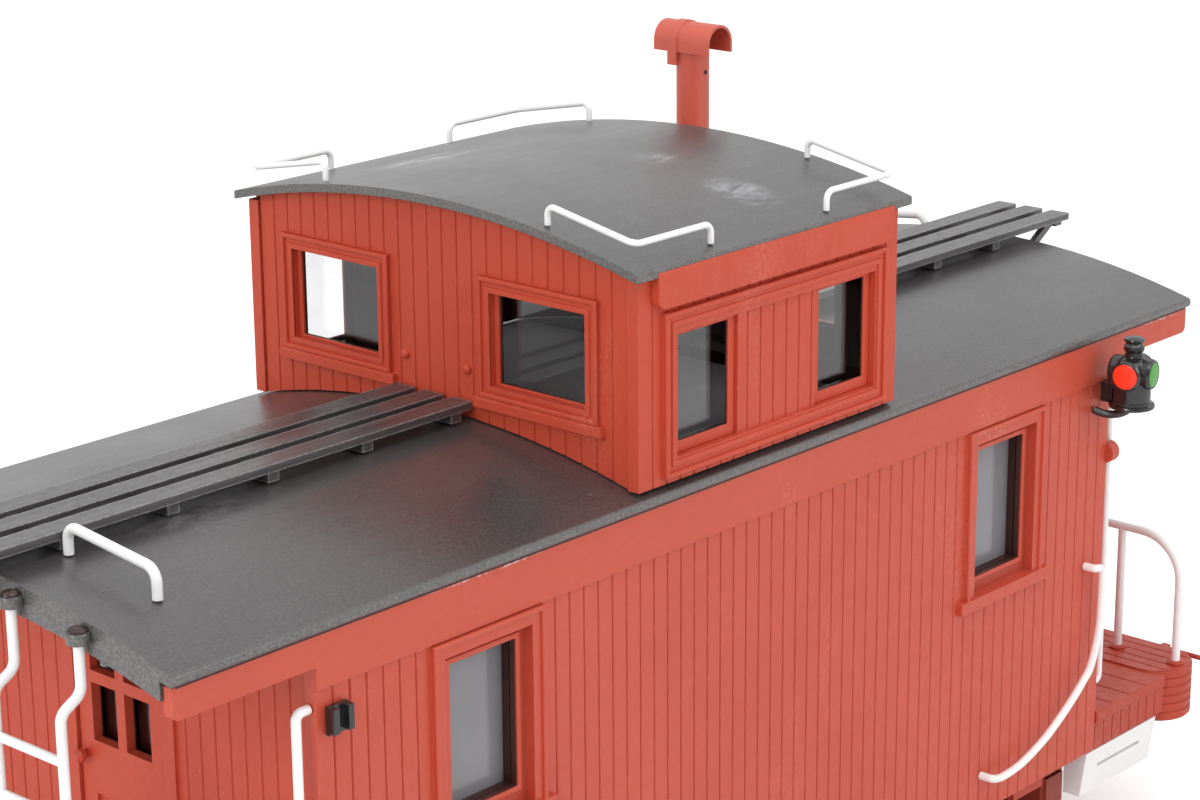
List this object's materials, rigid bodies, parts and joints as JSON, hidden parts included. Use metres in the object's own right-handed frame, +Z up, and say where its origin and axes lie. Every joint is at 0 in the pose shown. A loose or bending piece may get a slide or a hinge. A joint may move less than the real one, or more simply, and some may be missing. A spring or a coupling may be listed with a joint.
{
  "type": "caboose",
  "caption": "Short caboose model with boarded red body, arched roof, cupola, running boards, white grab rods, marker lamps and arch-bar trucks.",
  "frame": {"origin": "centre of the wheelbase on the plane the wheel flanges stand on", "axes": "+X along the car toward the end with the marker lamps, +Y across the car, +Z up"},
  "size_m": [0.4074, 0.1484, 0.2264],
  "materials": {
    "oxide_red": "semi-matt moulded plastic",
    "charcoal": "satin charcoal with a fine grain",
    "white": "glossy white plastic",
    "steel": "plated turned metal",
    "clear": "smoky clear plastic",
    "red_lens": "jewel red",
    "green_lens": "jewel green"
  },
  "bodies": {
    "car": {"body_end_front": "oxide_red", "body_end_rear": "oxide_red", "body_side_left": "oxide_red", "body_side_right": "oxide_red", "cupola_end_front": "oxide_red", "cupola_end_rear": "oxide_red", "cupola_glazing": "clear", "cupola_grab_front_left": "white", "cupola_grab_front_right": "white", "cupola_grab_rear_left": "white", "cupola_grab_rear_right": "white", "cupola_roof": "charcoal", "cupola_side_left": "oxide_red", "cupola_side_right": "oxide_red", "end_grab_front_left": "white", "end_grab_front_right": "white", "end_grab_rear_left": "white", "end_grab_rear_right": "white", "ladder_front": "white", "ladder_rear": "white", "main_roof": "charcoal", "marker_bracket_left": "charcoal", "marker_bracket_right": "charcoal", "marker_lamp_left": "charcoal", "marker_lamp_right": "charcoal", "platform_front": "oxide_red", "platform_rear": "oxide_red", "railing_front": "white", "railing_rear": "white", "roof_grab_front": "white", "roof_grab_rear": "white", "running_board_front": "charcoal", "running_board_rear": "charcoal", "side_glass_left": "clear", "side_glass_right": "clear", "side_grab_front_left": "white", "side_grab_front_right": "white", "side_grab_rear_left": "white", "side_grab_rear_right": "white", "smoke_pipe": "oxide_red", "step_front_left": "white", "step_front_right": "white", "step_rear_left": "white", "step_rear_right": "white", "truss_rods_left": "charcoal", "truss_rods_right": "charcoal", "underframe": "oxide_red"},
    "coupler_front": {"coupler_front": "charcoal"},
    "coupler_rear": {"coupler_rear": "charcoal"},
    "door_front": {"door_front": "oxide_red", "door_glass_front": "clear"},
    "door_rear": {"door_glass_rear": "clear", "door_rear": "oxide_red"},
    "truck_front": {"truck_front": "oxide_red"},
    "truck_rear": {"truck_rear": "oxide_red"},
    "wheelset_front_inner": {"wheelset_front_inner": "steel"},
    "wheelset_front_outer": {"wheelset_front_outer": "steel"},
    "wheelset_rear_inner": {"wheelset_rear_inner": "steel"},
    "wheelset_rear_outer": {"wheelset_rear_outer": "steel"}
  },
  "joints": [
    {"name": "truck_swivel_front", "type": "hinge", "parent": "car", "child": "truck_front", "pos_m": [-0.111, 0, 0.0269], "axis": [0, 0, 1], "range_deg": [-5, 5]},
    {"name": "wheel_spin_front_inner", "type": "hinge", "parent": "truck_front", "child": "wheelset_front_inner", "pos_m": [-0.083, 0, 0.0185], "axis": [0, 1, 0], "continuous": true},
    {"name": "wheel_spin_front_outer", "type": "hinge", "parent": "truck_front", "child": "wheelset_front_outer", "pos_m": [-0.139, 0, 0.0185], "axis": [0, 1, 0], "continuous": true},
    {"name": "door_swing_front", "type": "hinge", "parent": "car", "child": "door_front", "pos_m": [-0.133, -0.0133, 0.047], "axis": [0, 0, -1], "range_deg": [0, 85]},
    {"name": "coupler_swing_front", "type": "hinge", "parent": "car", "child": "coupler_front", "pos_m": [-0.1625, 0, 0.0316], "axis": [0, 0, 1], "range_deg": [-8, 8]},
    {"name": "truck_swivel_rear", "type": "hinge", "parent": "car", "child": "truck_rear", "pos_m": [0.111, 0, 0.0269], "axis": [0, 0, 1], "range_deg": [-5, 5]},
    {"name": "wheel_spin_rear_inner", "type": "hinge", "parent": "truck_rear", "child": "wheelset_rear_inner", "pos_m": [0.083, 0, 0.0185], "axis": [0, 1, 0], "continuous": true},
    {"name": "wheel_spin_rear_outer", "type": "hinge", "parent": "truck_rear", "child": "wheelset_rear_outer", "pos_m": [0.139, 0, 0.0185], "axis": [0, 1, 0], "continuous": true},
    {"name": "door_swing_rear", "type": "hinge", "parent": "car", "child": "door_rear", "pos_m": [0.133, 0.0133, 0.047], "axis": [0, 0, -1], "range_deg": [0, 85]},
    {"name": "coupler_swing_rear", "type": "hinge", "parent": "car", "child": "coupler_rear", "pos_m": [0.1625, 0, 0.0316], "axis": [0, 0, 1], "range_deg": [-8, 8]}
  ]
}
